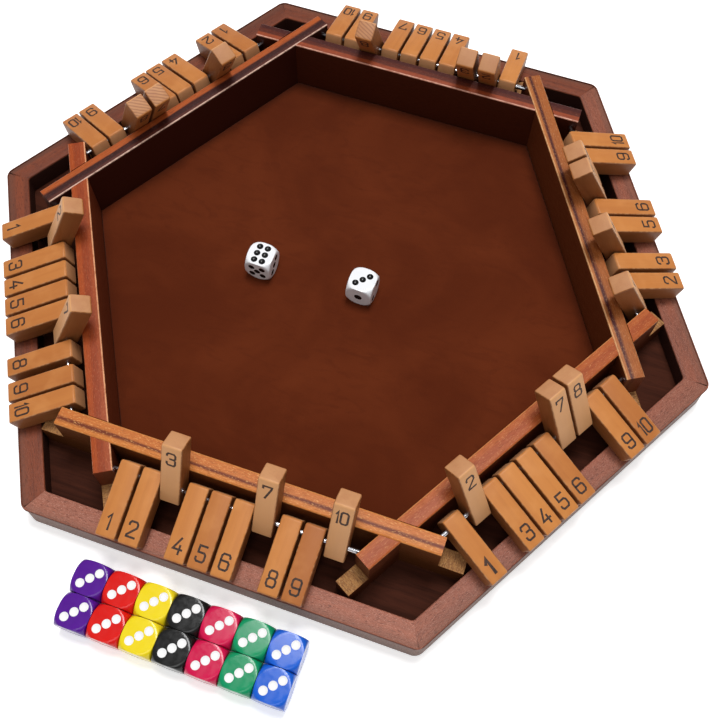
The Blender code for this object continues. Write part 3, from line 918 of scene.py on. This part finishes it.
def make_felt():
    """The felt mat as a thin sheet with a soft, slightly uneven top."""
    shape = bmesh.new()
    apothem = RAIL_INNER - GAP
    rings, steps = 26, 8
    base = loop(shape, hexagon(apothem, BOARD_TOP, steps))
    wall = loop(shape, hexagon(apothem, FELT_TOP - FELT_EDGE, steps))
    skin(shape, base, wall)
    shape.faces.new(base)
    previous = wall
    for i in range(rings):
        share = 1 - i / rings
        inset = FELT_EDGE if i == 0 else 0.0
        points = hexagon(apothem * share - inset, FELT_TOP, steps)
        row = []
        for x, y, z in points:
            wave = FELT_WAVE * (math.sin(x * 0.071 + 1.3) * math.sin(y * 0.083 - 0.4) - 1)
            row.append(shape.verts.new(Vector((x, y, z + wave)) * MM))
        skin(shape, previous, row)
        previous = row
    middle = shape.verts.new(Vector((0, 0, FELT_TOP - FELT_WAVE)) * MM)
    for i, vertex in enumerate(previous):
        shape.faces.new((vertex, previous[(i + 1) % len(previous)], middle))
    item = put_mesh("felt_sheet", shape, [felt_material()], 50.0)
    seat(item, "board", ["felt_mat"])


def hexagon(apothem, height, steps):
    """Points round a sharp hexagon, with steps points along each side."""
    reach = apothem / math.cos(math.radians(30))
    turns = [math.radians(60 * k) for k in range(6)]
    corners = [Vector((reach * math.cos(turn), reach * math.sin(turn))) for turn in turns]
    points = []
    for k in range(6):
        for step in range(steps):
            p = corners[k].lerp(corners[(k + 1) % 6], step / steps)
            points.append((p.x, p.y, height))
    return points


# Dice

# Places of the pips on a face of a die, in steps
PIPS = {
    1: ((0, 0),),
    2: ((-1, -1), (1, 1)),
    3: ((-1, -1), (0, 0), (1, 1)),
    4: ((-1, -1), (-1, 1), (1, -1), (1, 1)),
    5: ((-1, -1), (-1, 1), (0, 0), (1, -1), (1, 1)),
    6: ((-0.75, -1.4), (-0.75, 0), (-0.75, 1.4), (0.75, -1.4), (0.75, 0), (0.75, 1.4)),
}
# Faces of a die: number, outward axis, across axis, up axis
DIE_FACES = (
    (6, (0, 0, 1), (1, 0, 0), (0, 1, 0)),
    (1, (0, 0, -1), (1, 0, 0), (0, 1, 0)),
    (5, (0, -1, 0), (1, 0, 0), (0, 0, 1)),
    (2, (0, 1, 0), (1, 0, 0), (0, 0, 1)),
    (3, (1, 0, 0), (0, 1, 0), (0, 0, 1)),
    (4, (-1, 0, 0), (0, 1, 0), (0, 0, 1)),
)
# Corners of a die are cut back to a sphere of this share of its size, and blended over this length
DIE_SPHERE = 0.735
DIE_BLEND = 0.5
# Step between pips, radius of a pip and radius of a lone pip
WHITE_PIPS = (3.02, 1.8, 2.2)
PLAYER_PIPS = (3.4, 2.15, 2.3)


def die_shape(size):
    """A cube with its corners and edges rounded off towards a sphere."""
    shape = bmesh.new()
    steps = 18
    half = size / 2
    start = DIE_SPHERE * size - DIE_BLEND
    for axis in range(3):
        for sign in (-1, 1):
            grid = []
            for i in range(steps + 1):
                row = []
                for j in range(steps + 1):
                    point = Vector((0, 0, 0))
                    point[axis] = sign * half
                    point[(axis + 1) % 3] = half * math.sin(math.pi / 2 * (2 * i / steps - 1))
                    point[(axis + 2) % 3] = half * math.sin(math.pi / 2 * (2 * j / steps - 1))
                    length = point.length
                    if length > start:
                        over = (length - start) / DIE_BLEND
                        point *= (start + DIE_BLEND * (1 - math.exp(-over))) / length
                    row.append(shape.verts.new(point * MM))
                grid.append(row)
            for i in range(steps):
                for j in range(steps):
                    shape.faces.new((grid[i][j], grid[i + 1][j], grid[i + 1][j + 1], grid[i][j + 1]))
    bmesh.ops.remove_doubles(shape, verts=shape.verts, dist=0.00001)
    return shape


def pip_shape(size, step, radius, lone_radius):
    """All the dimples of a die, as one cutter of shallow lenses."""
    shape = bmesh.new()
    levels, around = 6, 20
    for number, out, across, up in DIE_FACES:
        wide = lone_radius if number == 1 else radius
        ball = (wide ** 2 + PIP_DEPTH ** 2) / (2 * PIP_DEPTH)
        turn = Vector((0, 0, 1)).rotation_difference(-Vector(out)).to_matrix().to_4x4()
        for a, b in PIPS[number]:
            centre = Vector(out) * (size / 2 + ball - PIP_DEPTH)
            centre += Vector(across) * (a * step) + Vector(up) * (b * step)
            place = Matrix.Translation(centre * MM) @ turn
            cap = []
            for level in range(1, levels + 1):
                polar = math.asin(min(1.0, wide * 1.25 / ball)) * level / levels
                points = []
                for k in range(around):
                    t = math.tau * k / around
                    rim = ball * math.sin(polar)
                    p = Vector((rim * math.cos(t), rim * math.sin(t), ball * math.cos(polar)))
                    points.append(place @ (p * MM))
                cap.append([shape.verts.new(p) for p in points])
            tip = shape.verts.new(place @ Vector((0, 0, ball * MM)))
            for k in range(around):
                shape.faces.new((tip, cap[0][k], cap[0][(k + 1) % around]))
            for first, second in zip(cap, cap[1:]):
                skin(shape, first, second)
            shape.faces.new(cap[-1])
    return shape


def die_mesh(label, size, step, radius, lone_radius):
    """One die with sunk pips, whose dimples take the second material slot.

    Its two materials only keep the places of the ones that each die gets.
    """
    plain = plastic_material(label + "_slot", srgb(255, 255, 255), srgb(240, 240, 240))
    dark = plastic_material(label + "_pip_slot", srgb(20, 20, 20), srgb(10, 10, 10))
    body = put_mesh(label + "_pattern", die_shape(size), [plain, dark], 60.0)
    cutter = pip_shape(size, step, radius, lone_radius)
    tool = put_mesh(label + "_pips", cutter, [plain, dark], 60.0)
    for face in tool.data.polygons:
        face.material_index = 1
    carve(body, [tool])
    data = body.data
    data.shade_smooth()
    data.set_sharp_from_angle(angle=math.radians(26))
    bpy.data.objects.remove(body)
    return data


def add_die(name, data, materials, matrix, node):
    """Place one die that stands for a solid and moves with it."""
    own = data.copy()
    for index, item in enumerate(materials):
        own.materials[index] = item
    item = bpy.data.objects.new(name, own)
    bpy.context.scene.collection.objects.link(item)
    seat(item, node, [node], matrix)


def make_dice():
    """Two white dice on the felt and fourteen coloured ones in front of the board."""
    white = plastic_material("white_plastic_gloss", srgb(246, 247, 250), srgb(232, 234, 240))
    black = plastic_material("black_pip_paint", srgb(14, 14, 15), srgb(26, 26, 28))
    pearl = plastic_material("white_pip_paint", srgb(250, 250, 250), srgb(238, 238, 240))
    three_up = Matrix(((0, 1, 0, 0), (0, 0, 1, 0), (1, 0, 0, 0), (0, 0, 0, 1)))
    data = die_mesh("white_die", WHITE_DIE, *WHITE_PIPS)
    height = FELT_TOP + GAP + WHITE_DIE / 2
    # Piece, node, place on the felt, turn and what lies on top
    white_dice = (
        ("white_die_with_six_up", "white_die_left", -43.27, -4.86, -1.0, Matrix.Identity(4)),
        ("white_die_with_three_up", "white_die_right", 13.47, -1.75, -2.0, three_up),
    )
    for name, node, x, y, turn, way in white_dice:
        spot = Matrix.Translation(Vector((x, y, height)) * MM)
        matrix = spot @ Matrix.Rotation(math.radians(turn), 4, "Z") @ way
        add_die(name, data, (white, black), matrix, node)
    # Columns from left to right: name, colour and a second shade of it
    colours = (
        ("purple", (88, 26, 148), (72, 18, 128)),
        ("red", (224, 28, 22), (200, 18, 18)),
        ("yellow", (244, 220, 34), (238, 206, 16)),
        ("black", (30, 30, 30), (18, 18, 19)),
        ("crimson", (212, 18, 78), (186, 10, 62)),
        ("green", (14, 150, 98), (6, 126, 82)),
        ("blue", (26, 98, 212), (14, 80, 190)),
    )
    data = die_mesh("player_die", PLAYER_DIE, *PLAYER_PIPS)
    pitch = PLAYER_DIE + GAP
    low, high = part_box("player_dice")
    middle = (Vector(low) + Vector(high)) / 2 / MM
    for column, (label, colour, shade) in enumerate(colours):
        plastic = plastic_material(label + "_plastic_gloss", srgb(*colour), srgb(*shade))
        for row, place in enumerate(("near", "far")):
            spot = middle + Vector(((column - 3) * pitch, (row - 0.5) * pitch, 0))
            matrix = Matrix.Translation(spot * MM) @ three_up
            name = "%s_die_%s" % (label, place)
            add_die(name, data, (plastic, pearl), matrix, "player_dice")


# Stage

# How much of the floor's white the camera sees without light on it
FLOOR_GLOW = 0.45
SKY_STRENGTH = 0.3
# Lamps, all aimed at the origin: name, place, size and power
LAMPS = (
    ("key", (0.0, 0.55, 2.5), 0.8, 43.0),
    ("fill", (0.1, -0.8, 1.9), 0.9, 7.0),
)
# Where the photograph was taken from: place, directions to the right and to the back, and lens
CAMERA_PLACE = (0.09422, -0.24785, 0.46541)
CAMERA_RIGHT = (0.94418, 0.32938, 0.00516)
CAMERA_BACK = (0.13751, -0.40834, 0.90241)
CAMERA_LENS = 48.546


def make_stage():
    """A pale table under soft studio lights."""
    shape = bmesh.new()
    bmesh.ops.create_grid(shape, x_segments=2, y_segments=2, size=6.0)
    g = Graph("pale_table")
    clouds = g.noise(g.place(shift=False), 3.0, 2.0)
    base = g.mix(clouds, srgb(250, 249, 248), srgb(254, 254, 254))
    g.surface(base, 0.85, Specular_IOR_Level=0.1)
    rays = g.node("ShaderNodeLightPath")
    seen = g.maths("MAXIMUM", rays.outputs["Is Camera Ray"], rays.outputs["Is Glossy Ray"])
    seen = g.maths("MAXIMUM", seen, rays.outputs["Is Transmission Ray"])
    g.put(g.shader.inputs["Emission Color"], (1.0, 1.0, 1.0, 1.0))
    g.put(g.shader.inputs["Emission Strength"], g.maths("MULTIPLY", seen, FLOOR_GLOW))
    table = put_mesh("pale_table", shape, [g.material], None)
    table.location.z = -0.0002
    world = bpy.data.worlds.new("studio")
    bpy.context.scene.world = world
    world.use_nodes = True
    sky = world.node_tree.nodes["Background"]
    sky.inputs["Color"].default_value = (1.0, 1.0, 1.0, 1.0)
    sky.inputs["Strength"].default_value = SKY_STRENGTH
    for name, spot, size, power in LAMPS:
        data = bpy.data.lights.new(name, "AREA")
        data.shape = "SQUARE"
        data.size = size
        data.energy = power
        lamp = bpy.data.objects.new(name, data)
        bpy.context.scene.collection.objects.link(lamp)
        lamp.location = spot
        lamp.rotation_euler = (-Vector(spot)).to_track_quat("-Z", "Y").to_euler()


def make_camera():
    """The camera at the photograph's place."""
    data = bpy.data.cameras.new("camera")
    data.sensor_fit = "HORIZONTAL"
    data.sensor_width = 36.0
    data.lens = CAMERA_LENS
    data.clip_start = 0.01
    data.clip_end = 50.0
    camera = bpy.data.objects.new("camera", data)
    bpy.context.scene.collection.objects.link(camera)
    right = Vector(CAMERA_RIGHT).normalized()
    back = Vector(CAMERA_BACK).normalized()
    up = back.cross(right).normalized()
    right = up.cross(back)
    rows = [(right[i], up[i], back[i], CAMERA_PLACE[i]) for i in range(3)]
    camera.matrix_world = Matrix((*rows, (0, 0, 0, 1)))
    bpy.context.scene.camera = camera
    bpy.context.scene.view_settings.view_transform = "Standard"


make_stage()
make_camera()
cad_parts["base_board"].data.materials.clear()
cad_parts["base_board"].data.materials.append(floor_material())
make_frame()
make_rails()
make_rods()
make_tiles()
make_felt()
make_dice()
